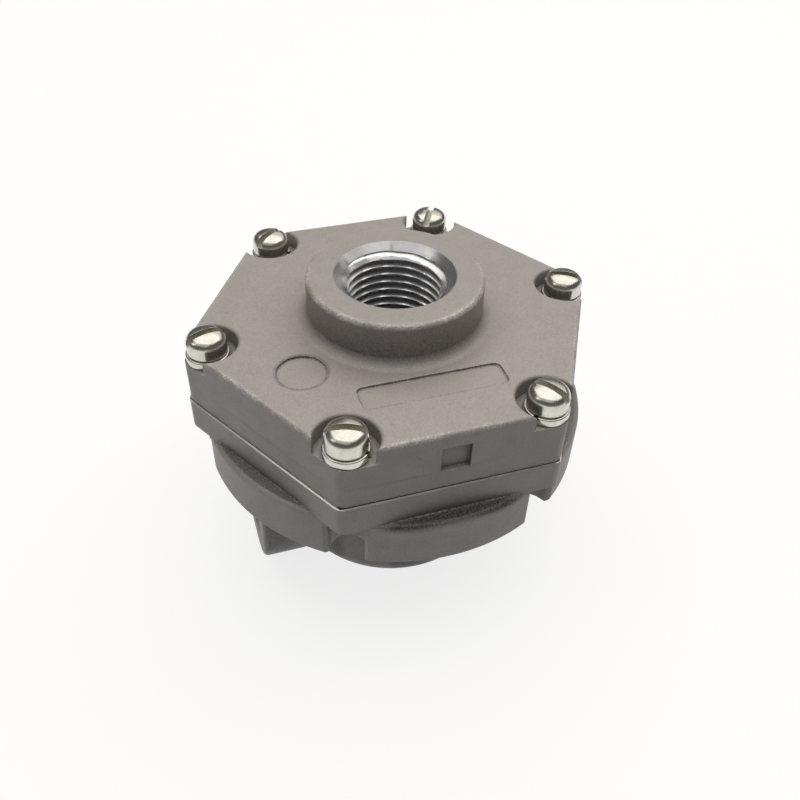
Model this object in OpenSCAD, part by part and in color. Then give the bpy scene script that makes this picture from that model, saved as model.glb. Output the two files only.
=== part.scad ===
// Quick exhaust valve with a hexagonal cover, held by six screws
// Origin: centre of the underside. +Z: along the valve axis, up to the inlet. Cylinder port: towards -X.
// Millimetres.

/* [Castings] */
// Width of the cover across its flats
across_flats = 73.4; // [72:0.2:80]
// Radius of the upright edges at the six corners
corner_r = 2; // [1.5:0.25:4.5]
// Height of the cover, without its boss
cover_h = 13.1; // [12.5:0.1:18]
// How far the flange stands out beyond the cover, all round
flange_step = 0.3; // [0.2:0.05:0.8]
// Thickness of the body's flange
flange_t = 6; // [5:0.1:9]
// How far the round disc stands out beyond the flange's flats
disc_proud = 3; // [2:0.1:4]
// Height of the round disc below the flange
disc_h = 10.6; // [9:0.1:15]
// Radius of the bowl below the disc
bowl_r = 23.75; // [23:0.25:27]
// Height of the bowl, from the underside to the disc
bowl_h = 27.2; // [26:0.1:34]
// Wall of the bowl and of the disc's floor
wall = 4; // [3:0.25:5]
// Rounding of the cast outer edges
edge_r = 1; // [0.6:0.1:1.4]
// Rounding of the cover's top edge
top_edge_r = 0.7; // [0.4:0.1:1]
// Rounding of the bowl's lower edge
bowl_edge_r = 6.5; // [4:0.5:7]

/* [Ports] */
// Thread diameter of the three ports, at the root of the internal thread
port_d = 21.2; // [19:0.1:22]
// Diameter of the chamfer at a port's mouth
mouth_d = 24; // [23:0.25:26]
// Outer diameter of the inlet and cylinder bosses
boss_d = 35; // [32:0.5:36]
// Height of the inlet boss above the cover
boss_h = 9.1; // [6:0.1:14]
// Distance from the valve axis to the cylinder boss's end
side_reach = 33; // [31.5:0.25:33.5]
// Height of the cylinder boss above the underside
side_clear = 0.5; // [0.3:0.1:1]
// Depth of the inlet and exhaust threads
thread_depth = 18; // [14:0.5:20]

/* [Seats and diaphragm] */
// Diameter of the bore that guides the diaphragm
guide_d = 56.4; // [52:0.2:57]
// Gap between the diaphragm's rim and its guide bore
rim_gap = 0.5; // [0.3:0.05:0.8]
// Depth of the exhaust seat below the joint face
seat_drop = 6.3; // [5.5:0.1:7]
// Diameter of the hole through each seat
seat_bore_d = 18; // [15:0.5:19]
// Thickness of the diaphragm's sealing pad
pad_t = 4.5; // [4:0.1:5]
// Thickness of the diaphragm's thin web
web_t = 1.8; // [1.4:0.1:2.2]
// Width of the lip around the diaphragm's rim
lip_w = 2; // [1.5:0.1:2.5]
// Travel of the diaphragm from one seat to the other
travel = 2.5; // [1.5:0.1:3]
// Gap left at a seat when the diaphragm lies on it
seat_gap = 0.15; // [0.1:0.01:0.3]
// Wall of the nozzle around the exhaust thread
nozzle_wall = 2.4; // [2:0.1:3.5]
// Width of the O-ring groove
groove_w = 3; // [2.6:0.1:3.2]
// Depth of the O-ring groove
groove_depth = 1.8; // [1.5:0.1:2.2]
// Wall between the guide bore and the O-ring groove
groove_land = 1.8; // [1.5:0.1:2]

/* [Fasteners] */
// Distance from the cover's sharp corner to the screw's axis
screw_inset = 4.9; // [4.5:0.1:5.2]
// Thread diameter of a cover screw
screw_d = 4.83; // [4:0.01:5]
// Length of a screw under its head
screw_l = 15.9; // [13:0.1:18]
// Diameter of a screw's head
head_d = 7.75; // [7:0.05:8.2]
// Height of the head's round side
head_h = 2.9; // [2:0.1:3.5]
// Height of the head's domed top
dome_h = 1.65; // [1:0.05:2]
// Width of the head's slot
slot_w = 1.4; // [1:0.05:1.6]
// Depth of the slot below the top of the dome
slot_depth = 2; // [1.5:0.1:2.5]
// Outer diameter of a lock washer
washer_d = 8.5; // [8.2:0.05:9]
// Thickness of a lock washer
washer_t = 1.65; // [0.8:0.05:1.8]
// Width of the washer's split
split_w = 0.9; // [0.5:0.05:1.2]
// Depth of a corner pocket below the cover's top
pocket_depth = 3.6; // [3.2:0.1:5]
// Room between a lock washer and its pocket's wall
pocket_room = 1.65; // [1.4:0.05:2.4]
// Rounding of a pocket's upper edge
rim_r = 0.6; // [0.3:0.1:0.9]
// Half the width of the notch below each corner
notch_r = 3.6; // [3:0.1:4]

/* [Bare marking spots] */
// Length of the sunken panel on the cover
panel_l = 28; // [20:0.5:32]
// Width of the sunken panel
panel_w = 6; // [4:0.25:7]
// Distance from the valve axis to the middle of the panel
panel_at = 23.7; // [23.5:0.1:27]
// Radius of the sunken round spot
spot_r = 4.75; // [3:0.25:5]
// Distance from the valve axis to the round spot
spot_at = 25.9; // [25:0.1:28]
// Side of the square spot on the front flat
square_w = 5.6; // [4:0.1:6]
// Height of the square spot's middle above the joint
square_at = 7; // [5:0.1:8]
// Depth of the spots on the cover's top
mark_depth = 0.45; // [0.2:0.05:0.6]

/* [Hidden] */
$fn = 96;
CAST = [0.56, 0.54, 0.51];
STEEL = [0.78, 0.77, 0.74];
RUBBER = [0.13, 0.13, 0.14];

// Overlap of cutting shapes past the faces they open
over = 1;
// An edge's arc is this many times the size of the edge, so it meets both faces at a slight angle
BULGE = 1.25;
// Lines of the screws' corners and of the flats between them
CORNERS = [0, 60, 120, 180, 240, 300];
FLATS = [30, 90, 150, 210, 270, 330];
// Directions in which the six slots and the six splits lie
SLOT_TURNS = [-30, 60, 38, 15, -18, -57];
SPLIT_TURNS = [200, 250, 330, 60, -40, 215];

// Heights of the faces, from the underside up
z_disc = bowl_h;
z_flange = z_disc + disc_h;
z_joint = z_flange + flange_t;
z_cover = z_joint + cover_h;
z_top = z_cover + boss_h;
z_pocket = z_cover - pocket_depth;
z_head = z_pocket + washer_t;
z_exhaust_seat = z_joint - seat_drop;
z_pad = z_exhaust_seat + seat_gap;
z_inlet_seat = z_pad + pad_t + travel + seat_gap;

// Radii and places worked out from the sizes above
cover_apothem = across_flats / 2;
flange_apothem = cover_apothem + flange_step;
disc_r = flange_apothem + disc_proud;
screw_at = cover_apothem / cos(30) - screw_inset;
pocket_r = washer_d / 2 + pocket_room;
port_r = port_d / 2;
mouth_r = mouth_d / 2;
mouth_h = mouth_r - port_r;
boss_r = boss_d / 2;
side_z = boss_r + side_clear;
nozzle_r = port_r + nozzle_wall;
seat_bore_r = seat_bore_d / 2;
guide_r = guide_d / 2;
groove_r = guide_r + groove_land;
chamber_r = bowl_r - wall;
// Small sizes of the castings
joint_rebate = 0.3;
flange_lap = 0.5;
pipe_room = 0.3;
boss_fillet = 2;
notch_flare = 1;
seat_lip = 1.6;
hole_room = 0.35;
thread_fit = 0.05;
spot_turn = 211.5;
square_depth = 1;
panel_corner = 1.4;
// Small sizes of the rubber pieces
pad_lap = 1.5;
pad_bevel = 1;
lip_flare = 2;
seal_room = 0.05;

// Hexagon with rounded corners, one corner on +X
module rounded_hex(apothem) {
    tip = apothem / cos(30);
    difference() {
        polygon([for (a = CORNERS) tip * [cos(a), sin(a)]]);
        for (a = CORNERS)
            rotate(a) translate([tip, 0]) corner_cut();
    }
}

// What is cut off a hexagon's corner to round it, with the corner's tip at the origin, pointing to +X
module corner_cut() {
    start = corner_r * tan(30);
    arc_r = BULGE * corner_r;
    middle = start / 2 + sqrt(arc_r * arc_r - pow(start * sin(60), 2));
    difference() {
        translate([-middle / 4, -corner_r]) square([middle / 4 + over, 2 * corner_r]);
        translate([-middle, 0]) circle(arc_r);
    }
}

// Copies its children to the six screws
module at_screws() {
    for (a = CORNERS)
        rotate(a) translate([screw_at, 0, 0]) children();
}

// Corner between two faces, x = 0 and y = 0, outside an arc from [size, 0] to [0, size]: cut off to round
// an edge, or added as a fillet
module quarter_round(size) {
    middle = size * (1 + sqrt(2 * BULGE * BULGE - 1)) / 2;
    difference() {
        translate([-over, -over]) square(middle + over);
        translate([middle, middle]) circle(BULGE * size);
    }
}

// Port bore along +Z from z = 0 down, with its chamfered mouth
module port_cut(depth) {
    rotate_extrude()
        polygon([[0, over], [mouth_r + over, over], [port_r, -mouth_h], [port_r, -depth], [0, -depth]]);
}

// Round boss along +Z with its end at z = 0, its end edge rounded
module boss(length) {
    end_r = boss_r - edge_r;
    rotate_extrude() {
        translate([0, -length]) square([boss_r, length - edge_r]);
        translate([0, -length]) square([end_r, length]);
        translate([end_r, -edge_r]) circle(edge_r);
    }
}

module body_outside() {
    difference() {
        rotate_extrude() {
            // Bowl with a round lower edge, running up into the flange
            translate([0, bowl_edge_r]) square([bowl_r, z_joint - flange_t / 2 - bowl_edge_r]);
            square([bowl_r - bowl_edge_r, bowl_edge_r + over]);
            translate([bowl_r - bowl_edge_r, bowl_edge_r]) circle(bowl_edge_r);
            // Disc with round edges
            translate([0, z_disc]) square([disc_r - edge_r, disc_h]);
            translate([0, z_disc + edge_r]) square([disc_r, disc_h - 2 * edge_r]);
            for (z = [z_disc + edge_r, z_flange - edge_r])
                translate([disc_r - edge_r, z]) circle(edge_r);
        }
        at_screws()
            translate([0, 0, z_disc - over]) linear_extrude(disc_h + 2 * over) notch_shape();
    }
    translate([0, 0, z_flange - flange_lap])
        linear_extrude(flange_t + flange_lap) rounded_hex(flange_apothem);
    translate([-side_reach, 0, side_z]) rotate([0, -90, 0]) boss(side_reach);
}

// Notch below a corner, open outwards, flared at its mouth
module notch_shape() {
    mouth = disc_r - screw_at;
    circle(notch_r);
    translate([0, -notch_r]) square([mouth + over, 2 * notch_r]);
    polygon([[mouth - notch_flare, notch_r], [mouth - notch_flare, -notch_r],
        [mouth + over, -notch_r - notch_flare - over], [mouth + over, notch_r + notch_flare + over]]);
}

module body() color(CAST)
    difference() {
        body_outside();
        // Chamber round the nozzle, wider above where the diaphragm runs
        rotate_extrude() {
            translate([nozzle_r, wall]) square([chamber_r - nozzle_r, z_joint]);
            translate([nozzle_r, z_disc + wall]) square([guide_r - nozzle_r, z_joint]);
            // Room above the exhaust seat, with a slope down to the nozzle's side
            polygon([[0, z_exhaust_seat], [seat_bore_r + seat_lip, z_exhaust_seat],
                [nozzle_r + over, z_exhaust_seat - nozzle_r - over + seat_bore_r + seat_lip],
                [nozzle_r + over, z_joint + over], [0, z_joint + over]]);
            // Groove for the O-ring
            translate([groove_r, z_joint - groove_depth]) square([groove_w, groove_depth + over]);
        }
        mirror([0, 0, 1]) port_cut(thread_depth);
        cylinder(r = seat_bore_r, h = z_joint);
        translate([-side_reach, 0, side_z]) rotate([0, -90, 0]) {
            port_cut(side_reach - nozzle_r - wall / 2);
            // Way for a pipe past the disc's overhang
            cylinder(r = port_r + pipe_room, h = disc_r);
        }
        at_screws() translate([0, 0, z_flange - over])
            cylinder(d = screw_d + 2 * thread_fit, h = flange_t + 2 * over);
    }

// Hexagonal plate with a fine step at the joint and a rounded top edge
module cover_plate() {
    translate([0, 0, z_joint]) linear_extrude(2 * joint_rebate) rounded_hex(cover_apothem - joint_rebate);
    difference() {
        translate([0, 0, z_joint + joint_rebate])
            linear_extrude(cover_h - joint_rebate) rounded_hex(cover_apothem);
        // Along the flats, from the middle of one pocket to the middle of the next
        for (a = FLATS)
            rotate(a) translate([cover_apothem, screw_at / 2, z_cover]) rotate([90, 90, 0])
                linear_extrude(screw_at) mirror([0, 1]) quarter_round(top_edge_r);
    }
}

module cover_outside() {
    cover_plate();
    translate([0, 0, z_top]) boss(boss_h + cover_h / 2);
    translate([0, 0, z_cover]) rotate_extrude() translate([boss_r, 0]) quarter_round(boss_fillet);
}

module cover() color(CAST)
    difference() {
        cover_outside();
        // Open pockets at the corners and the screws' holes
        at_screws() {
            translate([0, 0, z_cover]) rotate_extrude() {
                translate([0, -pocket_depth]) square([pocket_r, pocket_depth + over]);
                translate([pocket_r, 0]) mirror([0, 1]) quarter_round(rim_r);
            }
            translate([0, 0, z_joint - over]) cylinder(d = screw_d + 2 * hole_room, h = cover_h);
        }
        // Inlet bore, seat hole and the room round the inlet seat
        translate([0, 0, z_top]) port_cut(thread_depth);
        cylinder(r = seat_bore_r, h = z_top);
        rotate_extrude() {
            seat_rise = z_inlet_seat - z_joint;
            translate([0, z_joint - over]) square([guide_r, seat_rise + over]);
            translate([nozzle_r, z_joint - over]) square([guide_r - nozzle_r, seat_rise + wall + over]);
        }
        // Bare spots
        translate([0, -panel_at, z_cover - mark_depth]) linear_extrude(mark_depth + over) panel_shape();
        rotate(spot_turn) translate([spot_at, 0, z_cover - mark_depth])
            cylinder(r = spot_r, h = mark_depth + over);
        translate([-square_w / 2, -cover_apothem - over, z_joint + square_at - square_w / 2])
            cube([square_w, square_depth + over, square_w]);
    }

// Panel with rounded corners
module panel_shape() {
    square([panel_l - 2 * panel_corner, panel_w], center = true);
    square([panel_l, panel_w - 2 * panel_corner], center = true);
    for (x = [-1, 1]) for (y = [-1, 1])
        translate([x * (panel_l / 2 - panel_corner), y * (panel_w / 2 - panel_corner)]) circle(panel_corner);
}

module diaphragm() color(RUBBER) {
    rim_r = guide_r - rim_gap;
    pad_r = nozzle_r + pad_lap;
    web_low = (pad_t - web_t) / 2;
    web_high = (pad_t + web_t) / 2;
    translate([0, 0, z_pad]) rotate_extrude()
        polygon([[0, 0], [pad_r, 0], [pad_r + pad_bevel, web_low], [rim_r - lip_w - lip_flare, web_low],
            [rim_r - lip_w / 2, 0], [rim_r, 0], [rim_r, pad_t - pad_bevel], [rim_r - lip_w, web_high],
            [pad_r + pad_bevel, web_high], [pad_r, pad_t], [0, pad_t]]);
}

module cover_seal() color(RUBBER) {
    // The ring's section is pressed flat between groove and cover
    rotate_extrude()
        translate([groove_r + groove_w / 2, z_joint - groove_depth / 2]) intersection() {
            circle(groove_w / 2 - 2 * seal_room);
            square([groove_w, groove_depth - 2 * seal_room], center = true);
        }
}

module screw() {
    dome_r = (head_d * head_d / 4 + dome_h * dome_h) / (2 * dome_h);
    difference() {
        union() {
            translate([0, 0, -screw_l]) cylinder(d = screw_d, h = screw_l + head_h / 2);
            intersection() {
                cylinder(d = head_d, h = head_h + dome_h);
                translate([0, 0, head_h + dome_h - dome_r]) sphere(dome_r);
            }
        }
        translate([-head_d, -slot_w / 2, head_h + dome_h - slot_depth]) cube([2 * head_d, slot_w, head_h]);
    }
}

module cover_screws() color(STEEL)
    for (k = [0:5])
        rotate(CORNERS[k]) translate([screw_at, 0, z_head]) rotate(SLOT_TURNS[k] - CORNERS[k]) screw();

module lock_washers() color(STEEL)
    for (k = [0:5])
        rotate(CORNERS[k]) translate([screw_at, 0, z_pocket]) rotate(SPLIT_TURNS[k] - CORNERS[k])
            difference() {
                cylinder(d = washer_d, h = washer_t);
                translate([0, 0, -over]) cylinder(d = screw_d + hole_room, h = washer_t + 2 * over);
                translate([0, -split_w / 2, -over]) cube([washer_d, split_w, washer_t + 2 * over]);
            }

body();
cover();
diaphragm();
cover_seal();
cover_screws();
lock_washers();
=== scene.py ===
"""Looks of a quick exhaust valve: cast steel housing, threaded ports, cover screws and a rubber diaphragm."""

import logging
import math
from dataclasses import dataclass
from enum import Enum
from typing import Any

import bmesh
import bpy
from mathutils import Matrix, Vector


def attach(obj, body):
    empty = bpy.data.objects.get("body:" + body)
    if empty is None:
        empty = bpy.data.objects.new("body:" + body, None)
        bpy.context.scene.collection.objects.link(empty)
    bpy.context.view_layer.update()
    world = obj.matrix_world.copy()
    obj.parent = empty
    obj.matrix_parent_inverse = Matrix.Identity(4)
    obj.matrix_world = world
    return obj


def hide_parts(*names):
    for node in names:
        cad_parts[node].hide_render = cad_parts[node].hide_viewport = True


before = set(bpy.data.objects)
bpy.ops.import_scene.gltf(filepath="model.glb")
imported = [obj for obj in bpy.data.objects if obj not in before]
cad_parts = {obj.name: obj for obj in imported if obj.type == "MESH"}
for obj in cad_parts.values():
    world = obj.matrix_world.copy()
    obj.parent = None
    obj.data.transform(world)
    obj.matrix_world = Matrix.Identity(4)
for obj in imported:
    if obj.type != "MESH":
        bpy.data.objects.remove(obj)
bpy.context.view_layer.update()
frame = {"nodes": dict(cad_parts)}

MM = 0.001
WAY = "way"
HOUSING = "housing"
PROBES = 6  # Rays with which a finish feels for nearby faces
LOG = logging.getLogger("valve")
Colour = tuple[float, float, float]
Point = tuple[float, float]


class Recess(Enum):
    """Where painted shade falls: in every closed-in place, or only on faces that don't look up."""

    ALL = "Dirt"
    UNDER = "Under"


class Port(Enum):
    """The three threaded ports, each with its mouth's centre in mm and the way that it faces."""

    INLET = ((0.0, 0.0, 66.0), (0.0, 0.0, 1.0))
    CYLINDER = ((-33.0, 0.0, 18.0), (-1.0, 0.0, 0.0))
    EXHAUST = ((0.0, 0.0, 0.0), (0.0, 0.0, -1.0))

    @property
    def mouth(self) -> Vector:
        """Centre of the port's mouth, in metres."""
        return Vector(self.value[0]) * MM

    @property
    def outward(self) -> Vector:
        """Direction out of the port."""
        return Vector(self.value[1])


class Graph:
    """Places and links the nodes of one node tree."""

    def __init__(self, tree: bpy.types.NodeTree) -> None:
        """Keeps the tree.

        Args:
            tree: Node tree of a material, a world or a group.
        """
        self.tree = tree

    def add(self, kind: str, inputs: dict[Any, Any] | None = None, **settings: Any) -> bpy.types.Node:
        """Adds one node.

        Args:
            kind: Blender's name of the node's type.
            inputs: Value or linked socket for each input, by name or number.
            settings: Attributes of the node itself.

        Returns:
            The new node.
        """
        node = self.tree.nodes.new(kind)
        for name, value in settings.items():
            setattr(node, name, value)
        for key, value in (inputs or {}).items():
            self.feed(node.inputs[key], value)
        return node

    def feed(self, socket: bpy.types.NodeSocket, value: Any) -> None:
        """Links a socket to the input, or sets its value.

        Args:
            socket: Input socket.
            value: Output socket, number, vector or colour.
        """
        if isinstance(value, bpy.types.NodeSocket):
            self.tree.links.new(value, socket)
        elif socket.type == "RGBA":
            socket.default_value = (*value, 1.0)
        else:
            socket.default_value = value

    def math(self, operation: str, *values: Any, clamp: bool = False) -> bpy.types.NodeSocket:
        """Adds a Math node.

        Args:
            operation: Blender's name of the operation.
            values: Its operands.
            clamp: Whether the result is held between 0 and 1.

        Returns:
            The result's socket.
        """
        node = self.add("ShaderNodeMath", dict(enumerate(values)), operation=operation, use_clamp=clamp)
        return node.outputs[0]

    def vector(self, operation: str, *values: Any) -> bpy.types.Node:
        """Adds a Vector Math node.

        Args:
            operation: Blender's name of the operation.
            values: Its operands.

        Returns:
            The node, with its outputs "Vector" and "Value".
        """
        return self.add("ShaderNodeVectorMath", dict(enumerate(values)), operation=operation)

    def millimetres(self, place: Any) -> bpy.types.NodeSocket:
        """Turns a position in metres into mm.

        Args:
            place: Socket of the position.

        Returns:
            The scaled position's socket.
        """
        node = self.vector("SCALE", place)
        self.feed(node.inputs["Scale"], 1 / MM)
        return node.outputs["Vector"]

    def ramp(self, value: Any, start: Point, end: Point) -> bpy.types.NodeSocket:
        """Maps a range of values smoothly onto another.

        Args:
            value: Socket to map.
            start: First value of the range, and its result.
            end: Last value of the range, and its result.

        Returns:
            The result's socket.
        """
        inputs = {
            "Value": value,
            "From Min": start[0], "From Max": end[0],
            "To Min": start[1], "To Max": end[1],
        }
        return self.add("ShaderNodeMapRange", inputs, interpolation_type="SMOOTHSTEP").outputs["Result"]

    def step(self, value: Any, mark: float, blur: float = 0.02) -> bpy.types.NodeSocket:
        """Steps from 0 to 1 where a value passes a mark."""
        return self.ramp(value, (mark - blur, 0.0), (mark + blur, 1.0))

    def blend(self, mask: Any, first: Any, second: Any) -> bpy.types.NodeSocket:
        """Mixes two colours.

        Args:
            mask: 0 for the first colour, 1 for the second.
            first: Colour or socket.
            second: Colour or socket.

        Returns:
            The mixed colour's socket.
        """
        return self.add("ShaderNodeMix", {0: mask, 6: first, 7: second}, data_type="RGBA").outputs[2]

    def level(self, mask: Any, first: Any, second: Any) -> bpy.types.NodeSocket:
        """Mixes two numbers.

        Args:
            mask: 0 for the first number, 1 for the second.
            first: Number or socket.
            second: Number or socket.

        Returns:
            The mixed number's socket.
        """
        return self.add("ShaderNodeMix", {0: mask, 2: first, 3: second}, data_type="FLOAT").outputs[0]

    def lean(self, mask: Any, first: Any, second: Any) -> bpy.types.NodeSocket:
        """Mixes two directions.

        Args:
            mask: 0 for the first direction, 1 for the second.
            first: Vector or socket.
            second: Vector or socket.

        Returns:
            The mixed direction's socket.
        """
        return self.add("ShaderNodeMix", {0: mask, 4: first, 5: second}, data_type="VECTOR").outputs[1]

    def effect(self, tree: bpy.types.NodeTree, inputs: dict[str, Any]) -> Any:
        """Places a shared effect.

        Args:
            tree: The effect's node group.
            inputs: Value or socket for each input of the group.

        Returns:
            The effect's output sockets.
        """
        return self.add("ShaderNodeGroup", inputs, node_tree=tree).outputs

    def parts(self, vector: Any) -> Any:
        """Splits a vector into the sockets of its X, Y and Z."""
        return self.add("ShaderNodeSeparateXYZ", {"Vector": vector}).outputs

    def from_axis(self, place: Any) -> bpy.types.NodeSocket:
        """Measures how far a position is from the z axis."""
        level = self.vector("MULTIPLY", place, (1.0, 1.0, 0.0)).outputs["Vector"]
        return self.vector("LENGTH", level).outputs["Value"]

    def nearest_sixth(self, spot: Any, shift: float) -> bpy.types.NodeSocket:
        """Finds the nearest of six directions round the z axis.

        Args:
            spot: Sockets of the position's X, Y and Z.
            shift: Turn of the six directions from the x axis, in sixths of a turn.

        Returns:
            The socket of that direction's angle in radians.
        """
        sixth = math.tau / 6
        turn = self.math("DIVIDE", self.math("ARCTAN2", spot["Y"], spot["X"]), sixth)
        whole = self.math("ROUND", self.math("SUBTRACT", turn, shift))
        return self.math("MULTIPLY", self.math("ADD", whole, shift), sixth)

    def across_flats(self, place: Any) -> bpy.types.NodeSocket:
        """Measures how far out a position is, square to the sides of a hexagon with corners on the x axis.

        Args:
            place: Socket of the position.

        Returns:
            The distance's socket.
        """
        out: Any = 0.0
        for k in range(3):
            angle = math.tau * (2 * k + 1) / 12
            side = (math.cos(angle), math.sin(angle), 0.0)
            across = self.vector("DOT_PRODUCT", place, side).outputs["Value"]
            out = self.math("MAXIMUM", out, self.math("ABSOLUTE", across))
        return out

    def bump(self, height: Any, normal: Any) -> bpy.types.NodeSocket:
        """Adds a Bump node for a height in mm.

        Args:
            height: Socket of the height.
            normal: Socket of the normal that it starts from.

        Returns:
            The bumped normal's socket.
        """
        inputs = {"Height": height, "Distance": MM, "Strength": 1.0, "Normal": normal}
        return self.add("ShaderNodeBump", inputs).outputs["Normal"]


class Effects:
    """Shader node groups that more than one finish uses, each built once."""

    def __init__(self) -> None:
        """Builds the groups."""
        self.grain = self._grain()
        self.edges = self._edges()
        self.recess = self._recess()
        self.turning = self._turning()
        self.bore = self._bore()

    @staticmethod
    def _group(name: str, inputs: dict[str, Any], outputs: dict[str, str]) -> tuple[Graph, Any, Any]:
        """Starts a group.

        Args:
            name: Name of the group.
            inputs: Default of each input, a number or a vector.
            outputs: Kind of each output.

        Returns:
            The group's graph, its input sockets and its output sockets.
        """
        tree = bpy.data.node_groups.new(name, "ShaderNodeTree")
        for title, default in inputs.items():
            kind = "NodeSocketFloat" if isinstance(default, float) else "NodeSocketVector"
            socket = tree.interface.new_socket(title, in_out="INPUT", socket_type=kind)
            socket.default_value = default
        for title, kind in outputs.items():
            tree.interface.new_socket(title, in_out="OUTPUT", socket_type=f"NodeSocket{kind}")
        graph = Graph(tree)
        return graph, graph.add("NodeGroupInput").outputs, graph.add("NodeGroupOutput").inputs

    def _grain(self) -> bpy.types.NodeTree:
        """Fine grain, soft clouds and small pits of a cast or moulded surface.

        Returns:
            The group, which puts out Height in mm, Clouds and Pits.
        """
        graph, given, result = self._group(
            "surface_grain",
            {
                "Vector": (0.0, 0.0, 0.0),
                "Grain Size": 0.3, "Grain Depth": 0.02,
                "Cloud Size": 3.0,
                "Pit Size": 1.5, "Pit Depth": 0.05,
            },
            {"Height": "Float", "Clouds": "Float", "Pits": "Float"},
        )
        place = graph.millimetres(given["Vector"])

        def scale(size: str) -> bpy.types.NodeSocket:
            """Turns the size that an input gives into a texture's scale."""
            return graph.math("DIVIDE", 1.0, given[size])

        def noise(size: str, detail: float) -> bpy.types.NodeSocket:
            """Adds a noise whose features have the size of an input."""
            inputs = {"Vector": place, "Scale": scale(size), "Detail": detail, "Roughness": 0.6}
            return graph.add("ShaderNodeTexNoise", inputs).outputs["Fac"]

        inputs = {"Vector": place, "Scale": scale("Pit Size"), "Randomness": 1.0}
        cells = graph.add("ShaderNodeTexVoronoi", inputs).outputs
        shares = graph.add("ShaderNodeSeparateColor", {"Color": cells["Color"]}).outputs
        chosen = graph.ramp(shares[0], (0.88, 0.0), (0.93, 1.0))
        dents = graph.math("MULTIPLY", graph.ramp(cells["Distance"], (0.05, 1.0), (0.22, 0.0)), chosen)
        height = graph.math("MULTIPLY", noise("Grain Size", 2.0), given["Grain Depth"])
        sunk = graph.math("MULTIPLY", dents, given["Pit Depth"])
        graph.feed(result["Height"], graph.math("SUBTRACT", height, sunk))
        graph.feed(result["Clouds"], noise("Cloud Size", 5.0))
        graph.feed(result["Pits"], dents)
        return graph.tree

    def _edges(self) -> bpy.types.NodeTree:
        """Worn edges, found where a rounded normal leaves the face's own.

        Returns:
            The group, which puts out Normal, rounded at the edges, and Wear.
        """
        graph, given, result = self._group(
            "worn_edges", {"Radius": 0.3}, {"Normal": "Vector", "Wear": "Float"})
        radius = graph.math("MULTIPLY", given["Radius"], MM)
        soft = graph.add("ShaderNodeBevel", {"Radius": radius}, samples=PROBES).outputs["Normal"]
        face = graph.add("ShaderNodeNewGeometry").outputs["Normal"]
        along = graph.vector("DOT_PRODUCT", soft, face).outputs["Value"]
        graph.feed(result["Normal"], soft)
        graph.feed(result["Wear"], graph.ramp(along, (0.995, 0.0), (0.86, 1.0)))
        return graph.tree

    def _recess(self) -> bpy.types.NodeTree:
        """Painted shade where a surface is closed in.

        Returns:
            The group, which puts out a mask for each kind of recess.
        """
        graph, given, result = self._group(
            "painted_recess_shade", {"Reach": 4.0}, {kind.value: "Float" for kind in Recess})
        reach = graph.math("MULTIPLY", given["Reach"], MM)
        probe = graph.add("ShaderNodeAmbientOcclusion", {"Distance": reach}, samples=PROBES)
        # Painted shade from ambient occlusion within the reach
        dirt = graph.ramp(probe.outputs["AO"], (0.93, 0.0), (0.45, 1.0))
        face = graph.add("ShaderNodeNewGeometry").outputs["Normal"]
        below = graph.ramp(graph.parts(face)["Z"], (0.25, 1.0), (0.8, 0.0))
        graph.feed(result[Recess.ALL.value], dirt)
        graph.feed(result[Recess.UNDER.value], graph.math("MULTIPLY", dirt, below))
        return graph.tree

    def _turning(self) -> bpy.types.NodeTree:
        """Fine rings that a turning tool leaves.

        Returns:
            The group, which puts out Rings for a way along the tool's path in mm.
        """
        graph, given, result = self._group("turning_marks", {"Way": 0.0, "Feed": 0.15}, {"Rings": "Float"})
        way = graph.math("DIVIDE", given["Way"], given["Feed"])
        inputs = {"W": way, "Scale": 1.0, "Detail": 1.0}
        rings = graph.add("ShaderNodeTexNoise", inputs, noise_dimensions="1D").outputs["Fac"]
        graph.feed(result["Rings"], rings)
        return graph.tree

    def _bore(self) -> bpy.types.NodeTree:
        """A machined bore in a casting, and its turning marks.

        Returns:
            The group, which puts out Mask and Rings.
        """
        graph, given, result = self._group(
            "machined_bore",
            {
                "Vector": (0.0, 0.0, 0.0),
                "Mouth": (0.0, 0.0, 0.0), "Outward": (0.0, 0.0, 1.0),
                "Radius": 12.0, "Depth": 18.0,
            },
            {"Mask": "Float", "Rings": "Float"},
        )
        offset = graph.vector("SUBTRACT", given["Vector"], given["Mouth"]).outputs["Vector"]
        offset = graph.millimetres(offset)
        along = graph.vector("DOT_PRODUCT", offset, given["Outward"]).outputs["Value"]
        sideways = graph.vector("CROSS_PRODUCT", offset, given["Outward"]).outputs["Vector"]
        across = graph.vector("LENGTH", sideways).outputs["Value"]
        slack, proud = 0.04, 1.0
        inside = graph.math("LESS_THAN", across, graph.math("ADD", given["Radius"], slack))
        near = graph.math("GREATER_THAN", along, graph.math("SUBTRACT", -slack, given["Depth"]))
        before = graph.math("LESS_THAN", along, proud)
        graph.feed(result["Mask"], graph.math("MULTIPLY", graph.math("MULTIPLY", inside, near), before))
        rings = graph.effect(self.turning, {"Way": graph.math("ADD", along, across), "Feed": 0.15})
        graph.feed(result["Rings"], rings["Rings"])
        return graph.tree


@dataclass(frozen=True)
class Grain:
    """Sizes of a surface's grain, clouds and pits, in mm."""

    size: float
    depth: float
    cloud: float
    pit: float
    pit_depth: float

    def sockets(self, graph: Graph, effects: Effects, place: Any) -> Any:
        """Places the shared grain with these sizes.

        Args:
            graph: Graph of the material.
            effects: Shared node groups.
            place: Socket of the position.

        Returns:
            The effect's output sockets.
        """
        return graph.effect(effects.grain, {
            "Vector": place, "Grain Size": self.size, "Grain Depth": self.depth,
            "Cloud Size": self.cloud, "Pit Size": self.pit, "Pit Depth": self.pit_depth})


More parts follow.
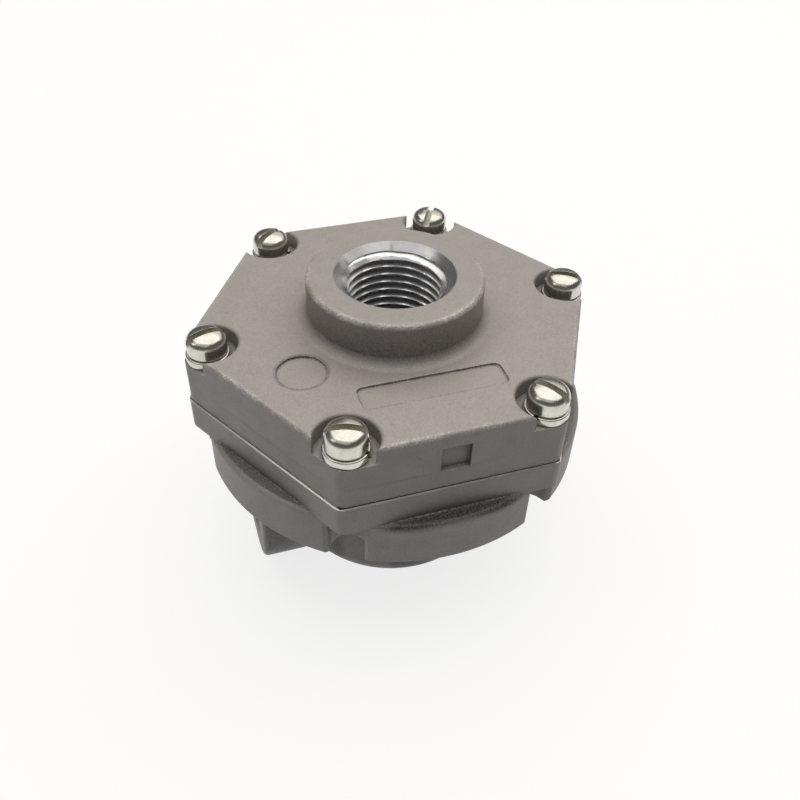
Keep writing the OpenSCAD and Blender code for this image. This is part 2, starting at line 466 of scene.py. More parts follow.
@dataclass(frozen=True)
class Rim:
    """A worn edge or other line on a casting, round or six-sided, in mm; without z at every height."""

    reach: float
    z: float | None
    six_sided: bool = False
    width: float = 0.9
    centre: Point = (0.0, 0.0)
    core: float = 0.25

    def mask(self, graph: Graph, at: Any) -> bpy.types.NodeSocket:
        """Finds the line.

        Args:
            graph: Graph of the material.
            at: Socket of the position in mm.

        Returns:
            The socket of its mask.
        """
        local = graph.vector("SUBTRACT", at, (*self.centre, 0.0)).outputs["Vector"]
        out = graph.across_flats(local) if self.six_sided else graph.from_axis(local)
        beside = graph.math("SUBTRACT", out, self.reach)
        if self.z is None:
            away = graph.math("ABSOLUTE", beside)
        else:
            above = graph.math("SUBTRACT", graph.parts(at)["Z"], self.z)
            square = graph.math("ADD", graph.math("POWER", beside, 2.0), graph.math("POWER", above, 2.0))
            away = graph.math("SQRT", square)
        return graph.ramp(away, (self.core * self.width, 1.0), (self.width, 0.0))


@dataclass(frozen=True)
class CastSteel:
    """Bead-blasted steel casting with machined port bores, a machined joint face and painted shade where it
    is closed in, sizes in mm.
    """

    name: str
    ports: tuple[Port, ...]
    shade_reach: float
    shade_on: Recess
    joint: Rim | None = None
    gap_z: float | None = None
    seam_z: float | None = None
    rims: tuple[Rim, ...] = ()
    # Real stains, and on the body a painted shadow
    stains_and_shadows: tuple[Rim, ...] = ()
    notch_w: float | None = None
    pocket_at: float | None = None
    colour: Colour = (0.41, 0.383, 0.36)
    dark: Colour = (0.388, 0.362, 0.34)
    # Tone of the painted shade in pits, closed-in places and creases
    dirt: Colour = (0.082, 0.08, 0.078)
    worn: Colour = (0.78, 0.755, 0.73)
    machined: Colour = (0.72, 0.73, 0.75)
    bare: Colour = (0.86, 0.82, 0.77)
    soot: Colour = (0.05, 0.048, 0.046)
    stain_and_shadow: Colour = (0.082, 0.08, 0.078)
    # Shares of each tone: painted shade in pits, closed-in places and creases, stains and painted shadows,
    # bright specks
    pit_share: float = 0.15
    shade_share: float = 0.9
    painted_shade_share: float = 0.7
    stain_and_shadow_share: float = 0.55
    speck_share: float = 0.14
    grain: Grain = Grain(0.34, 0.045, 4.0, 1.7, 0.02)
    specks: Point = (0.018, 0.028)
    # Reach of the painted shade in creases
    painted_shade_reach: float = 0.9
    # Share of the painted shade left in the notches and on the pocket walls
    notch_shade: float = 0.25
    notch_fade: float = 2.5
    pocket_shade: float = 0.55
    pocket_fade: float = 6.0
    seam_h: float = 0.05
    seam_w: Point = (0.05, 0.35)
    metallic: float = 0.15
    roughness: float = 0.46
    cloud_roughness: float = 0.06
    machined_roughness: float = 0.3
    ring_h: float = 0.004
    edge_r: float = 0.5

    def material(self, effects: Effects) -> bpy.types.Material:
        """Builds the finish.

        Args:
            effects: Shared node groups.

        Returns:
            The material.
        """
        made, graph, shader = new_material(self.name)
        place = graph.add("ShaderNodeTexCoord").outputs["Object"]
        at = graph.millimetres(place)
        grain = self.grain.sockets(graph, effects, place)
        edges = graph.effect(effects.edges, {"Radius": self.edge_r})
        # Painted shade in fine creases and corners
        dirt = graph.effect(effects.recess, {"Reach": self.painted_shade_reach})[Recess.ALL.value]
        mask, rings = self.cut_faces(graph, effects, place)
        edge, broken, slope, gap = self.joint_edge(graph, at)
        clouds = graph.ramp(grain["Clouds"], (0.3, 0.0), (0.7, 1.0))
        speck = graph.ramp(grain["Height"], (self.specks[0], 0.0), (self.specks[1], 1.0))
        # Pits, closed-in places and creases take the painted shade tone
        layers = [
            (grain["Pits"], self.pit_share, self.dirt),
            (self.shade(graph, effects, at), self.shade_share, self.dirt),
            (dirt, self.painted_shade_share, self.dirt),
            (gap, 1.0, self.soot),
        ]
        # Real stains on the cover, a painted shadow over the body's front gap
        layers += [(stain_and_shadow.mask(graph, at), self.stain_and_shadow_share, self.stain_and_shadow) for stain_and_shadow in self.stains_and_shadows]
        layers += [
            (speck, self.speck_share, self.worn),
            (self.wear(graph, grain, edges, speck, at), 1.0, self.worn),
            (mask, 1.0, self.machined),
            (edge, 1.0, self.bare),
        ]
        tone = graph.blend(clouds, self.dark, self.colour)
        for where, share, colour in layers:
            tone = graph.blend(graph.math("MULTIPLY", where, share), tone, colour)
        graph.feed(shader.inputs["Base Color"], tone)
        mask = graph.math("MAXIMUM", mask, edge)
        graph.feed(shader.inputs["Metallic"], graph.level(mask, self.metallic, 1.0))
        rough = graph.level(clouds, self.roughness + self.cloud_roughness, self.roughness)
        graph.feed(shader.inputs["Roughness"], graph.level(mask, rough, self.machined_roughness))
        cast = grain["Height"]
        if self.seam_z is not None:
            cast = graph.math("ADD", cast, self.seam(graph, at))
        height = graph.level(mask, cast, graph.math("MULTIPLY", rings, self.ring_h))
        normal = graph.bump(height, edges["Normal"])
        graph.feed(shader.inputs["Normal"], graph.lean(broken, normal, slope))
        return made

    def wear(self, graph: Graph, grain: Any, edges: Any, speck: Any, at: Any) -> bpy.types.NodeSocket:
        """Finds the edges that handling has worn, broken up by the grain.

        Args:
            graph: Graph of the material.
            grain: Output sockets of the grain.
            edges: Output sockets of the worn edges.
            speck: Socket of the bright specks' mask.
            at: Socket of the position in mm.

        Returns:
            The socket of their mask.
        """
        worn = edges["Wear"]
        for rim in self.rims:
            worn = graph.math("MAXIMUM", worn, rim.mask(graph, at))
        worn = graph.math("MULTIPLY", worn, graph.ramp(grain["Clouds"], (0.4, 0.25), (0.6, 1.0)))
        return graph.math("MULTIPLY", worn, graph.level(speck, 0.15, 0.95))

    def cut_faces(self, graph: Graph, effects: Effects, place: Any) -> tuple[Any, Any]:
        """Finds the machined faces of the casting.

        Args:
            graph: Graph of the material.
            effects: Shared node groups.
            place: Socket of the position.

        Returns:
            The sockets of their mask and of their turning marks.
        """
        mask: Any = 0.0
        rings: Any = 0.0
        for port in self.ports:
            bore = graph.effect(effects.bore, {"Vector": place, "Mouth": port.mouth, "Outward": port.outward})
            mask = graph.math("MAXIMUM", mask, bore["Mask"])
            rings = graph.math("MAXIMUM", rings, graph.math("MULTIPLY", bore["Rings"], bore["Mask"]))
        return mask, rings

    def joint_edge(self, graph: Graph, at: Any) -> tuple[Any, Any, Any, Any]:
        """Finds the bare edge of a six-sided joint face, its rim broken at 45 degrees by the mill.

        Args:
            graph: Graph of the material.
            at: Socket of the position in mm.

        Returns:
            The sockets of its mask, of its rim's mask, of the rim's slope and of the dark gap's mask.
        """
        if self.joint is None:
            return 0.0, 0.0, (0.0, 0.0, 1.0), self.gap(graph, at)
        spot = graph.parts(at)
        out = graph.across_flats(at)
        reach, width = self.joint.reach, self.joint.width
        high = graph.step(spot["Z"], self.joint.z - 0.4 * width)
        mask = graph.math("MULTIPLY", high, graph.step(out, reach - width))
        gap = graph.math("SUBTRACT", high, mask)
        broken = graph.math("MULTIPLY", graph.step(out, reach - 0.5 * width), high)
        angle = graph.nearest_sixth(spot, 0.5)
        along, across = graph.math("COSINE", angle), graph.math("SINE", angle)
        slope = graph.add("ShaderNodeCombineXYZ", {"X": along, "Y": across, "Z": 1.0}).outputs["Vector"]
        return mask, broken, graph.vector("NORMALIZE", slope).outputs["Vector"], gap

    def shade(self, graph: Graph, effects: Effects, at: Any) -> bpy.types.NodeSocket:
        """Finds the painted shade in closed-in places, thinned in the notches and pockets.

        Args:
            graph: Graph of the material.
            effects: Shared node groups.
            at: Socket of the position in mm.

        Returns:
            The socket of their mask.
        """
        mask = graph.effect(effects.recess, {"Reach": self.shade_reach})[self.shade_on.value]
        if self.notch_w is not None:
            mask = graph.math("MULTIPLY", mask, self.notches(graph, at))
        if self.pocket_at is not None:
            fade = (self.pocket_at - self.pocket_fade, 1.0)
            thin = graph.ramp(graph.from_axis(at), fade, (self.pocket_at, self.pocket_shade))
            mask = graph.math("MULTIPLY", mask, thin)
        return mask

    def notches(self, graph: Graph, at: Any) -> bpy.types.NodeSocket:
        """Thins the painted shade in the notches below the six corners.

        Args:
            graph: Graph of the material.
            at: Socket of the position in mm.

        Returns:
            The socket of the painted shade's share, 1 away from the notches.
        """
        spot = graph.parts(at)
        angle = graph.nearest_sixth(spot, 0.0)
        first = graph.math("MULTIPLY", spot["X"], graph.math("SINE", angle))
        second = graph.math("MULTIPLY", spot["Y"], graph.math("COSINE", angle))
        aside = graph.math("ABSOLUTE", graph.math("SUBTRACT", first, second))
        return graph.ramp(aside, (self.notch_w, self.notch_shade), (self.notch_w + self.notch_fade, 1.0))

    def gap(self, graph: Graph, at: Any) -> Any:
        """Finds the dark gap over a joint.

        Args:
            graph: Graph of the material.
            at: Socket of the position in mm.

        Returns:
            The socket of its mask.
        """
        if self.gap_z is None:
            return 0.0
        return graph.math("SUBTRACT", 1.0, graph.step(graph.parts(at)["Z"], self.gap_z))

    def seam(self, graph: Graph, at: Any) -> bpy.types.NodeSocket:
        """Makes the fine ridge that a mould's parting line leaves.

        Args:
            graph: Graph of the material.
            at: Socket of the position in mm.

        Returns:
            The socket of its height in mm.
        """
        away = graph.math("ABSOLUTE", graph.math("SUBTRACT", graph.parts(at)["Z"], self.seam_z))
        return graph.ramp(away, (self.seam_w[0], self.seam_h), (self.seam_w[1], 0.0))


@dataclass(frozen=True)
class BrightSteel:
    """Turned, polished stainless steel, coarser at the start of the tool's path, with painted shade where it
    is closed in, sizes in mm.
    """

    name: str
    colour: Colour = (0.68, 0.665, 0.6)
    shade: Colour = (0.58, 0.568, 0.515)
    # Tone, share and reach of the painted shade in slots, thread grooves and closed-in places
    dirt: Colour = (0.16, 0.15, 0.13)
    painted_shade_share: float = 0.2
    painted_shade_reach: float = 1.5
    recess_roughness: float = 0.2
    grain: Grain = Grain(0.5, 0.0004, 1.5, 1.2, 0.002)
    roughness: float = 0.23
    cloud_roughness: float = 0.06
    edge_r: float = 0.12
    feed: float = 0.12
    mark_h: float = 0.0015
    coarse_way: float = -100.0
    coarse_h: float = 0.012
    coarse_roughness: float = 0.3

    def material(self, effects: Effects) -> bpy.types.Material:
        """Builds the finish.

        Args:
            effects: Shared node groups.

        Returns:
            The material.
        """
        made, graph, shader = new_material(self.name)
        place = graph.add("ShaderNodeTexCoord").outputs["Object"]
        grain = self.grain.sockets(graph, effects, place)
        edges = graph.effect(effects.edges, {"Radius": self.edge_r})
        dirt = graph.effect(effects.recess, {"Reach": self.painted_shade_reach})[Recess.ALL.value]
        way = graph.add("ShaderNodeAttribute", attribute_name=WAY).outputs["Fac"]
        coarse = graph.math("LESS_THAN", way, self.coarse_way)
        clouds = graph.ramp(grain["Clouds"], (0.3, 0.0), (0.7, 1.0))
        tone = graph.blend(clouds, self.shade, self.colour)
        # Painted shade in slots, thread grooves and closed-in places
        shaded = graph.math("MULTIPLY", dirt, self.painted_shade_share)
        graph.feed(shader.inputs["Base Color"], graph.blend(shaded, tone, self.dirt))
        shader.inputs["Metallic"].default_value = 1.0
        rough = graph.level(clouds, self.roughness + self.cloud_roughness, self.roughness)
        rough = graph.level(coarse, rough, self.coarse_roughness)
        dulled = graph.math("MULTIPLY", dirt, self.recess_roughness)
        graph.feed(shader.inputs["Roughness"], graph.math("ADD", rough, dulled))
        marks = []
        for feed, depth in ((self.feed, self.mark_h), (0.5 * self.feed, self.coarse_h)):
            rings = graph.effect(effects.turning, {"Way": way, "Feed": feed})["Rings"]
            marks.append(graph.math("MULTIPLY", rings, depth))
        height = graph.math("ADD", grain["Height"], graph.level(coarse, *marks))
        graph.feed(shader.inputs["Normal"], graph.bump(height, edges["Normal"]))
        return made


@dataclass(frozen=True)
class MouldedRubber:
    """Matt black moulded rubber, sizes in mm."""

    colour: Colour = (0.018, 0.018, 0.019)
    bloom: Colour = (0.05, 0.05, 0.05)
    wear_share: float = 0.4
    grain: Grain = Grain(0.25, 0.012, 6.0, 2.5, 0.02)
    roughness: float = 0.62
    bloom_roughness: float = 0.12
    edge_r: float = 0.25

    def material(self, effects: Effects) -> bpy.types.Material:
        """Builds the finish.

        Args:
            effects: Shared node groups.

        Returns:
            The material.
        """
        made, graph, shader = new_material("moulded_rubber")
        place = graph.add("ShaderNodeTexCoord").outputs["Object"]
        grain = self.grain.sockets(graph, effects, place)
        edges = graph.effect(effects.edges, {"Radius": self.edge_r})
        clouds = graph.ramp(grain["Clouds"], (0.35, 0.0), (0.75, 1.0))
        tone = graph.blend(clouds, self.colour, self.bloom)
        wear = graph.math("MULTIPLY", edges["Wear"], self.wear_share)
        graph.feed(shader.inputs["Base Color"], graph.blend(wear, tone, self.bloom))
        rough = graph.level(clouds, self.roughness, self.roughness + self.bloom_roughness)
        graph.feed(shader.inputs["Roughness"], rough)
        graph.feed(shader.inputs["Normal"], graph.bump(grain["Height"], edges["Normal"]))
        return made


@dataclass(frozen=True)
class PaleFloor:
    """Plain floor that keeps the object's shadow and glows in a painted pool of light, white round the object
    and grey further off; in metres.
    """

    bounce: float = 0.1
    shown: float = 0.8
    far: float = 0.08
    shadow: float = 0.25
    pool: tuple[float, float, float] = (0.1, 0.36, 0.0)
    pool_r: float = 0.62
    dusk_r: float = 1.2

    def material(self) -> bpy.types.Material:
        """Builds the finish.

        Returns:
            The material.
        """
        made = bpy.data.materials.new("pale_floor")
        made.use_nodes = True
        made.node_tree.nodes.clear()
        graph = Graph(made.node_tree)
        path = graph.add("ShaderNodeLightPath").outputs
        direct = graph.math("ADD", path["Is Camera Ray"], path["Is Glossy Ray"])
        seen = graph.math("ADD", direct, path["Is Transmission Ray"], clamp=True)
        plain = graph.add("ShaderNodeBsdfDiffuse", {"Color": (self.bounce,) * 3}).outputs[0]
        place = graph.add("ShaderNodeTexCoord").outputs["Object"]
        away = graph.vector("DISTANCE", place, self.pool).outputs["Value"]
        # Painted pool of light: the glow fades from white round the object to dim grey further off
        shown = graph.ramp(away, (self.pool_r, self.shown), (self.dusk_r, self.far))
        glow = graph.add("ShaderNodeEmission", {"Color": (1.0, 1.0, 1.0), "Strength": shown}).outputs[0]
        shade = graph.add("ShaderNodeBsdfDiffuse", {"Color": (self.shadow,) * 3}).outputs[0]
        white = graph.add("ShaderNodeAddShader", {0: glow, 1: shade}).outputs[0]
        mixed = graph.add("ShaderNodeMixShader", {0: seen, 1: plain, 2: white}).outputs[0]
        graph.add("ShaderNodeOutputMaterial", {"Surface": mixed})
        return made


def new_material(name: str) -> tuple[bpy.types.Material, Graph, bpy.types.Node]:
    """Starts a material with a Principled shader.

    Args:
        name: Name of the material.

    Returns:
        The material, its graph and the shader.
    """
    made = bpy.data.materials.new(name)
    made.use_nodes = True
    return made, Graph(made.node_tree), made.node_tree.nodes["Principled BSDF"]


def dress(piece: bpy.types.Object, material: bpy.types.Material) -> None:
    """Gives a piece its finish.

    Args:
        piece: The piece.
        material: The finish.
    """
    piece.data.materials.clear()
    piece.data.materials.append(material)


def new_piece(name: str, mesh: bpy.types.Mesh, sharp: float = 30.0) -> bpy.types.Object:
    """Makes a piece of a mesh, smooth but for its sharp edges.

    Args:
        name: Name of the piece.
        mesh: The mesh, in metres.
        sharp: Angle in degrees from which an edge stays sharp.

    Returns:
        The piece.
    """
    mesh.name = name
    mesh.shade_smooth()
    mesh.set_sharp_from_angle(angle=math.radians(sharp))
    piece = bpy.data.objects.new(name, mesh)
    bpy.context.scene.collection.objects.link(piece)
    return piece


def arc(centre: Point, radius: float, start: float, end: float, steps: int) -> list[Point]:
    """Points along an arc.

    Args:
        centre: Centre of the arc.
        radius: Its radius.
        start: First angle in degrees.
        end: Last angle in degrees.
        steps: Number of stretches.

    Returns:
        The points, both ends among them.
    """
    points = []
    for k in range(steps + 1):
        angle = math.radians(start + (end - start) * k / steps)
        points.append((centre[0] + radius * math.cos(angle), centre[1] + radius * math.sin(angle)))
    return points


def lathe(profile: list[Point], around: int) -> bpy.types.Mesh:
    """Turns a profile round the z axis.

    Args:
        profile: Radius and height of each corner, from one end of the axis to the other.
        around: Number of corners round the axis.

    Returns:
        The mesh, closed at both ends, in the profile's unit.
    """
    made = bmesh.new()
    rings = []
    for r, z in profile:
        if r == 0.0:
            rings.append([made.verts.new((0.0, 0.0, z))] * around)
            continue
        turns = (math.tau * k / around for k in range(around))
        rings.append([made.verts.new((r * math.cos(a), r * math.sin(a), z)) for a in turns])
    for low, high in zip(rings, rings[1:]):
        for k in range(around):
            n = (k + 1) % around
            corners = list(dict.fromkeys((low[k], low[n], high[n], high[k])))
            made.faces.new(corners)
    bmesh.ops.recalc_face_normals(made, faces=made.faces[:])
    mesh = bpy.data.meshes.new("turned")
    made.to_mesh(mesh)
    made.free()
    return mesh


def patterned(mesh: bpy.types.Mesh, places: list[Matrix]) -> bpy.types.Mesh:
    """Repeats a mesh, and notes for each corner the way along the tool's path that turned it.

    Args:
        mesh: The mesh, round the z axis, in mm.
        places: Where each copy goes, in mm.

    Returns:
        The copies in one mesh, in metres.
    """
    made = bmesh.new()
    way = made.verts.layers.float.new(WAY)
    scale = Matrix.Scale(MM, 4)
    for place in places:
        known = len(made.verts)
        made.from_mesh(mesh)
        made.verts.ensure_lookup_table()
        for corner in made.verts[known:]:
            corner[way] = corner.co.xy.length - corner.co.z
            corner.co = scale @ place @ corner.co
    copies = bpy.data.meshes.new("copies")
    made.to_mesh(copies)
    made.free()
    return copies


@dataclass
class PortThread:
    """Tapered pipe thread and its countersink in a port's bore, in mm."""

    port: Port
    length: float
    root_r: float = 10.6
    mouth_r: float = 12.0
    pitch: float = 1.814
    depth: float = 1.38
    taper: float = 1 / 32
    wall: float = 0.04
    skin: float = 0.08
    root: float = 0.1
    crest: float = 0.2
    start: float = -0.15
    countersunk: bool = True
    around: int = 144
    per_pitch: int = 12
    sharp: float = 15.0

    def radius(self, down: float, turn: float) -> float:
        """Radius of the thread's surface.

        Args:
            down: Distance below the mouth.
            turn: Share of a turn round the bore.

        Returns:
            The radius.
        """
        phase = (down / self.pitch + turn + self.start) % 1.0
        rise = 1.0 - abs(2.0 * phase - 1.0)
        rise = min(1.0, max(0.0, (rise - self.root) / (1.0 - self.root - self.crest)))
        ridge = self.root_r - self.taper * down - self.depth * rise
        return min(self.root_r - self.skin, max(ridge, self.mouth_r - self.skin - down))

    def build(self) -> bpy.types.Object:
        """Makes the threaded sleeve.

        Returns:
            The piece.
        """
        cone = self.mouth_r - self.root_r
        steps = round((self.length - cone) / self.pitch * self.per_pitch)
        levels = [cone + (self.length - cone) * k / steps for k in range(steps + 1)]
        turn = Vector((0, 0, 1)).rotation_difference(self.port.outward).to_matrix()
        made = bmesh.new()
        way = made.verts.layers.float.new(WAY)

        def ring(down: float, r: float | None = None) -> list[bmesh.types.BMVert]:
            """Adds the corners of one ring.

            Args:
                down: Distance below the mouth.
                r: Radius of the ring, or None for the thread's own.

            Returns:
                The corners.
            """
            corners = []
            for k in range(self.around):
                share = k / self.around
                reach = self.radius(down, share) if r is None else r
                angle = math.tau * share
                local = Vector((reach * math.cos(angle), reach * math.sin(angle), -down)) * MM
                corner = made.verts.new(self.port.mouth + turn @ local)
                corner[way] = down
                corners.append(corner)
            return corners

        rings = [ring(down) for down in levels]
        rings += [ring(levels[-1], self.root_r + self.wall), ring(cone, self.root_r + self.wall)]
        if self.countersunk:
            rings += [ring(0.0, self.mouth_r + self.wall), ring(0.0, self.mouth_r - self.skin)]
        for row, here in enumerate(rings):
            there = rings[(row + 1) % len(rings)]
            for k in range(self.around):
                n = (k + 1) % self.around
                made.faces.new((here[k], there[k], there[n], here[n]))
        bmesh.ops.recalc_face_normals(made, faces=made.faces[:])
        mesh = bpy.data.meshes.new("thread")
        made.to_mesh(mesh)
        made.free()
        return new_piece(f"{self.port.name.lower()}_thread", mesh, self.sharp)


@dataclass
class Housing:
    """Cast body and cover with their machined ports, and the seal between them; sizes in mm."""

    nodes: dict[str, bpy.types.Object]
    effects: Effects
    inlet_thread: float = 18.0
    exhaust_thread: float = 18.0
    cylinder_thread: float = 15.0
    end_gap: float = 0.02
    # Reach of the painted shade on the cover and the body
    cover_shade: float = 18.0
    body_shade: float = 42.0
    boss_rim: Rim = Rim(17.2, 65.7)
    cover_rim: Rim = Rim(36.5, 56.7, True)
    joint: Rim = Rim(37.0, 43.8, True, 0.38)
    ring_spot: Rim = Rim(4.87, None, width=0.55, centre=(-22.083, -13.533))
    # A painted shadow on a wide arc, so that only the gap over the disc in front is dark
    front_gap_shadow: Rim = Rim(361.4, 37.8, width=2.2, centre=(0.0, -400.0))
    front_gap_shadow_tone: Colour = (0.03, 0.03, 0.031)
    front_gap_shadow_share: float = 0.9
    # Where the painted shade thins: notch width and pocket radius
    notch_w: float = 4.2
    pocket_at: float = 30.0
    gap_z: float = 43.98
    seam_z: float = 48.3
    cut: BrightSteel = BrightSteel(
        "cut_thread", (0.72, 0.73, 0.75), (0.64, 0.65, 0.67), roughness=0.24, coarse_way=1.5)

    def build(self) -> list[bpy.types.Object]:
        """Dresses the castings and cuts their threads.

        Returns:
            The new pieces.
        """
        cover = CastSteel(
            "cast_cover", (Port.INLET,), self.cover_shade, Recess.UNDER,
            gap_z=self.gap_z, seam_z=self.seam_z, rims=(self.boss_rim, self.cover_rim),
            stains_and_shadows=(self.ring_spot,), pocket_at=self.pocket_at)
        # The body carries a painted shadow over the gap above the disc in front
        body = CastSteel(
            "cast_body", (Port.EXHAUST,), self.body_shade, Recess.ALL,
            joint=self.joint, notch_w=self.notch_w,
            stains_and_shadows=(self.front_gap_shadow,), stain_and_shadow=self.front_gap_shadow_tone, stain_and_shadow_share=self.front_gap_shadow_share)
        dress(self.nodes["cover"], cover.material(self.effects))
        dress(self.nodes["body"], body.material(self.effects))
        dress(self.nodes["cover_seal"], MouldedRubber().material(self.effects))
        finish = self.cut.material(self.effects)
        lengths = {
            Port.INLET: self.inlet_thread,
            Port.EXHAUST: self.exhaust_thread,
            Port.CYLINDER: self.cylinder_thread,
        }
        made = []
        for port, length in lengths.items():
            piece = PortThread(port, length - self.end_gap, countersunk=port is not Port.CYLINDER).build()
            dress(piece, finish)
            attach(piece, HOUSING)
            made.append(piece)
        return made


@dataclass
class Fasteners:
    """Six slotted cover screws on split lock washers, sizes in mm and degrees."""

    effects: Effects
    circle_r: float = 37.478
    seat_z: float = 53.3
    slot_turns: tuple[float, ...] = (-30.0, 60.0, 38.0, 15.0, -18.0, -57.0)
    split_turns: tuple[float, ...] = (200.0, 250.0, 330.0, 60.0, -40.0, 215.0)
    head_r: float = 3.875
    dome_r: float = 9.0
    top: float = 4.55
    shoulder_r: float = 1.9
    under_r: float = 0.5
    slot_w: float = 1.4
    slot_depth: float = 2.0
    shank_r: float = 2.415
    shank_l: float = 15.9
    end_edge: float = 0.6
    washer_r: float = 4.25
    washer_hole_r: float = 2.59
    washer_t: float = 1.65
    washer_edge: float = 0.3
    split_w: float = 0.9
    around: int = 128
    edge_steps: int = 6
    shoulder_steps: int = 16
    dome_steps: int = 28
    polished: BrightSteel = BrightSteel("polished_screw")
    spring: BrightSteel = BrightSteel("spring_washer", roughness=0.2, feed=0.4)

    def build(self) -> list[bpy.types.Object]:
        """Makes the screws and washers.

        Returns:
            The pieces.
        """
        screws = patterned(self.screw(), self.places(self.slot_turns, self.seat_z + self.washer_t))
        washers = patterned(self.washer(), self.places(self.split_turns, self.seat_z))
        made = []
        for name, mesh, finish in (
            ("cover_screws", screws, self.polished),
            ("lock_washers", washers, self.spring),
        ):
            piece = new_piece(f"{name}_turned", mesh)
            dress(piece, finish.material(self.effects))
            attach(piece, HOUSING)
            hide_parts(name)
            made.append(piece)
        return made

    def places(self, turns: tuple[float, ...], z: float) -> list[Matrix]:
        """Finds the six places round the cover.

        Args:
            turns: Direction of each copy's own x axis.
            z: Height of the copies.

        Returns:
            The places, in mm.
        """
        made = []
        for k, turn in enumerate(turns):
            corner = math.tau * k / len(turns)
            spot = Vector((self.circle_r * math.cos(corner), self.circle_r * math.sin(corner), z))
            made.append(Matrix.Translation(spot) @ Matrix.Rotation(math.radians(turn), 4, "Z"))
        return made

    def screw(self) -> bpy.types.Mesh:
        """Turns one screw and saws its slot.

        Returns:
            The mesh, with the head's underside at z 0.
        """
        dome_z = self.top - self.dome_r
        inner = self.dome_r - self.shoulder_r
        across = self.head_r - self.shoulder_r
        lean = math.degrees(math.acos(across / inner))
        middle = (across, dome_z + inner * math.sin(math.radians(lean)))
        profile = [
            (0.0, -self.shank_l),
            (self.shank_r - self.end_edge, -self.shank_l),
            (self.shank_r, self.end_edge - self.shank_l),
            (self.shank_r, 0.0),
        ]
        low = (self.head_r - self.under_r, self.under_r)
        profile += arc(low, self.under_r, -90.0, 0.0, self.edge_steps)
        profile += arc(middle, self.shoulder_r, 0.0, lean, self.shoulder_steps)
        profile += arc((0.0, dome_z), self.dome_r, lean, 90.0, self.dome_steps)[1:-1]
        profile.append((0.0, self.top))
        return self.slotted(lathe(profile, self.around))

    def slotted(self, mesh: bpy.types.Mesh) -> bpy.types.Mesh:
        """Saws a slot along x across a screw's head.

        Args:
            mesh: The turned screw.

        Returns:
            The slotted screw.
        """
        saw = bmesh.new()
        size = Matrix.Diagonal((4 * self.head_r, self.slot_w, 2 * self.slot_depth, 1.0))
        bmesh.ops.create_cube(saw, size=1.0, matrix=Matrix.Translation((0, 0, self.top)) @ size)
        blade = bpy.data.meshes.new("saw")
        saw.to_mesh(blade)
        saw.free()
        cutter = bpy.data.objects.new("saw", blade)
        blank = bpy.data.objects.new("blank", mesh)
        for helper in (cutter, blank):
            bpy.context.scene.collection.objects.link(helper)
        cut = blank.modifiers.new("slot", "BOOLEAN")
        cut.operation, cut.solver, cut.object = "DIFFERENCE", "EXACT", cutter
        bpy.context.view_layer.update()
        sawn = blank.evaluated_get(bpy.context.evaluated_depsgraph_get())
        result = bpy.data.meshes.new_from_object(sawn)
        for helper in (blank, cutter):
            bpy.data.objects.remove(helper)
        return result

    def washer(self) -> bpy.types.Mesh:
        """Sweeps the rounded section of one washer from side to side of its split.

        Returns:
            The mesh, with the washer's underside at z 0.
        """
        e = self.washer_edge
        section: list[Point] = []
        for r, z, start in (
            (self.washer_r - e, e, -90.0),
            (self.washer_r - e, self.washer_t - e, 0.0),
            (self.washer_hole_r + e, self.washer_t - e, 90.0),
            (self.washer_hole_r + e, e, 180.0),
        ):
            section += arc((r, z), e, start, start + 90.0, self.edge_steps)
        made = bmesh.new()
        rows = []
        for k in range(self.around + 1):
            row = []
            for r, z in section:
                half = math.asin(self.split_w / 2 / r)
                angle = half + (math.tau - 2 * half) * k / self.around
                row.append(made.verts.new((r * math.cos(angle), r * math.sin(angle), z)))
            rows.append(row)
        for here, there in zip(rows, rows[1:]):
            for j in range(len(section)):
                n = (j + 1) % len(section)
                made.faces.new((here[j], there[j], there[n], here[n]))
        made.faces.new(rows[0])
        made.faces.new(rows[-1])
        bmesh.ops.recalc_face_normals(made, faces=made.faces[:])
        mesh = bpy.data.meshes.new("washer")
        made.to_mesh(mesh)
        made.free()
        return mesh


@dataclass
class Shuttle:
    """Rubber diaphragm that floats between the two seats."""

    nodes: dict[str, bpy.types.Object]
    effects: Effects

    def build(self) -> list[bpy.types.Object]:
        """Dresses the diaphragm.

        Returns:
            The pieces.
        """
        dress(self.nodes["diaphragm"], MouldedRubber().material(self.effects))
        return [self.nodes["diaphragm"]]


@dataclass(frozen=True)
class Panel:
    """A soft light panel that faces the object, in metres, degrees and watts."""

    name: str
    heading: float
    height: float
    width: float
    depth: float
    power: float
    colour: Colour = (1.0, 1.0, 1.0)
    distance: float = 1.15
    aim_z: float = 0.04

    def build(self) -> None:
        """Hangs the panel."""
        lamp = bpy.data.lights.new(self.name, "AREA")
        lamp.shape = "RECTANGLE"
        lamp.size, lamp.size_y, lamp.energy = self.width, self.depth, self.power
        lamp.color = self.colour
        lit = bpy.data.objects.new(self.name, lamp)
        way = direction(self.heading, self.height)
        lit.location = Vector((0, 0, self.aim_z)) + way * self.distance
        lit.rotation_euler = (-way).to_track_quat("-Z", "Y").to_euler()
        bpy.context.scene.collection.objects.link(lit)


def direction(heading: float, height: float) -> Vector:
    """Direction from the object.

    Args:
        heading: Angle round it in degrees, 0 at the front and 90 at the right.
        height: Angle above the floor in degrees.

    Returns:
        The unit vector.
    """
    a, e = math.radians(heading), math.radians(height)
    return Vector((math.sin(a) * math.cos(e), -math.cos(a) * math.cos(e), math.sin(e)))


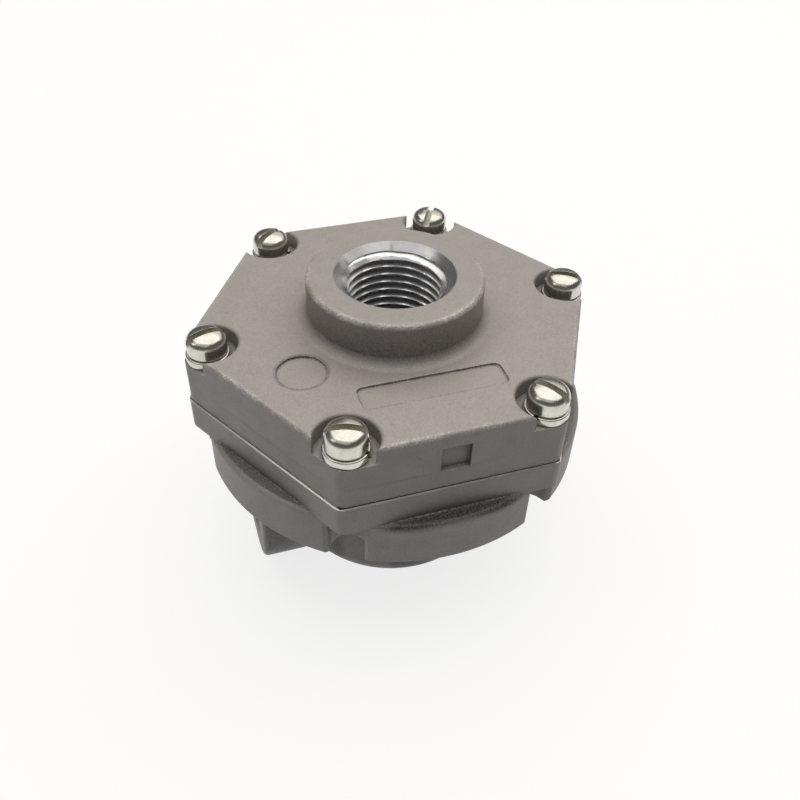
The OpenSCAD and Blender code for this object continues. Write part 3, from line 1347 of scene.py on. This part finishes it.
@dataclass
class Studio:
    """Floor, lights and camera, sizes in metres and degrees."""

    floor_r: float = 2.2
    floor_ring: float = 0.4
    floor_z: float = -0.0001
    floor_around: int = 96
    floor_sharp: float = 80.0
    wall_r: float = 0.6
    wall_h: float = 1.6
    wall_steps: int = 12
    frame_px: float = 800.0
    focal_px: float = 834.214
    sensor: float = 36.0
    azimuth: float = -19.105
    elevation: float = 41.537
    roll: float = 2.013
    distance: float = 0.161659
    across: float = 0.000882
    above: float = -0.024619
    target: tuple[float, float, float] = (0.0, 0.0, 0.066)
    near: float = 0.005
    room: float = 0.035
    panels: tuple[Panel, ...] = (
        Panel("key_panel", 146.0, 78.0, 2.1, 1.35, 13.7, (1.0, 0.95, 0.9)),
        Panel("back_panel", 130.0, 40.0, 1.5, 0.6, 2.3, (1.0, 0.96, 0.92)),
        Panel("side_panel", -92.0, 34.0, 0.25, 0.25, 0.62, (1.0, 0.95, 0.9)),
        Panel("front_panel", -42.0, 60.0, 1.5, 0.8, 2.0, (1.0, 0.98, 0.97)),
    )

    def build(self) -> None:
        """Sets up the floor, the light and the camera."""
        self.floor()
        for panel in self.panels:
            panel.build()
        self.dim_room()
        self.camera()
        bpy.context.scene.view_settings.view_transform = "Standard"

    def floor(self) -> None:
        """Makes a round floor whose edge curves up into a low wall."""
        flat_r = self.floor_r - self.wall_r
        profile = [(0.0, 0.0), (self.floor_ring, 0.0)]
        profile += arc((flat_r, self.wall_r), self.wall_r, -90.0, 0.0, self.wall_steps)
        profile.append((self.floor_r, self.wall_h))
        piece = new_piece("studio_floor", lathe(profile, self.floor_around), self.floor_sharp)
        piece.location.z = self.floor_z
        dress(piece, PaleFloor().material())

    def dim_room(self) -> None:
        """Gives the room round the floor its dim light."""
        world = bpy.data.worlds.new("dim_room")
        bpy.context.scene.world = world
        world.use_nodes = True
        back = world.node_tree.nodes["Background"]
        back.inputs["Color"].default_value = (self.room, self.room, self.room, 1.0)

    def camera(self) -> None:
        """Places the camera at the viewing angle."""
        roll = math.radians(self.roll)
        back = direction(self.azimuth, self.elevation)
        right = direction(self.azimuth + 90.0, 0.0)
        up = back.cross(right)
        x_axis = right * math.cos(roll) + up * math.sin(roll)
        y_axis = up * math.cos(roll) - right * math.sin(roll)
        place = Vector(self.target) + back * self.distance + x_axis * self.across + y_axis * self.above
        lens = bpy.data.cameras.new("camera")
        lens.sensor_width = self.sensor
        lens.lens = self.focal_px * self.sensor / self.frame_px
        lens.clip_start = self.near
        eye = bpy.data.objects.new("camera", lens)
        turn = Matrix((x_axis, y_axis, back)).transposed().to_4x4()
        eye.matrix_world = Matrix.Translation(place) @ turn
        bpy.context.scene.collection.objects.link(eye)
        bpy.context.scene.camera = eye


def main() -> None:
    """Builds the valve's looks and the studio round it."""
    logging.basicConfig(level=logging.INFO, format="%(message)s")
    nodes = frame["nodes"]
    effects = Effects()
    for part in (Housing(nodes, effects), Fasteners(effects), Shuttle(nodes, effects)):
        for piece in part.build():
            LOG.info("%s: %s", type(part).__name__, piece.name)
    Studio().build()


if __name__ == "__main__":
    main()
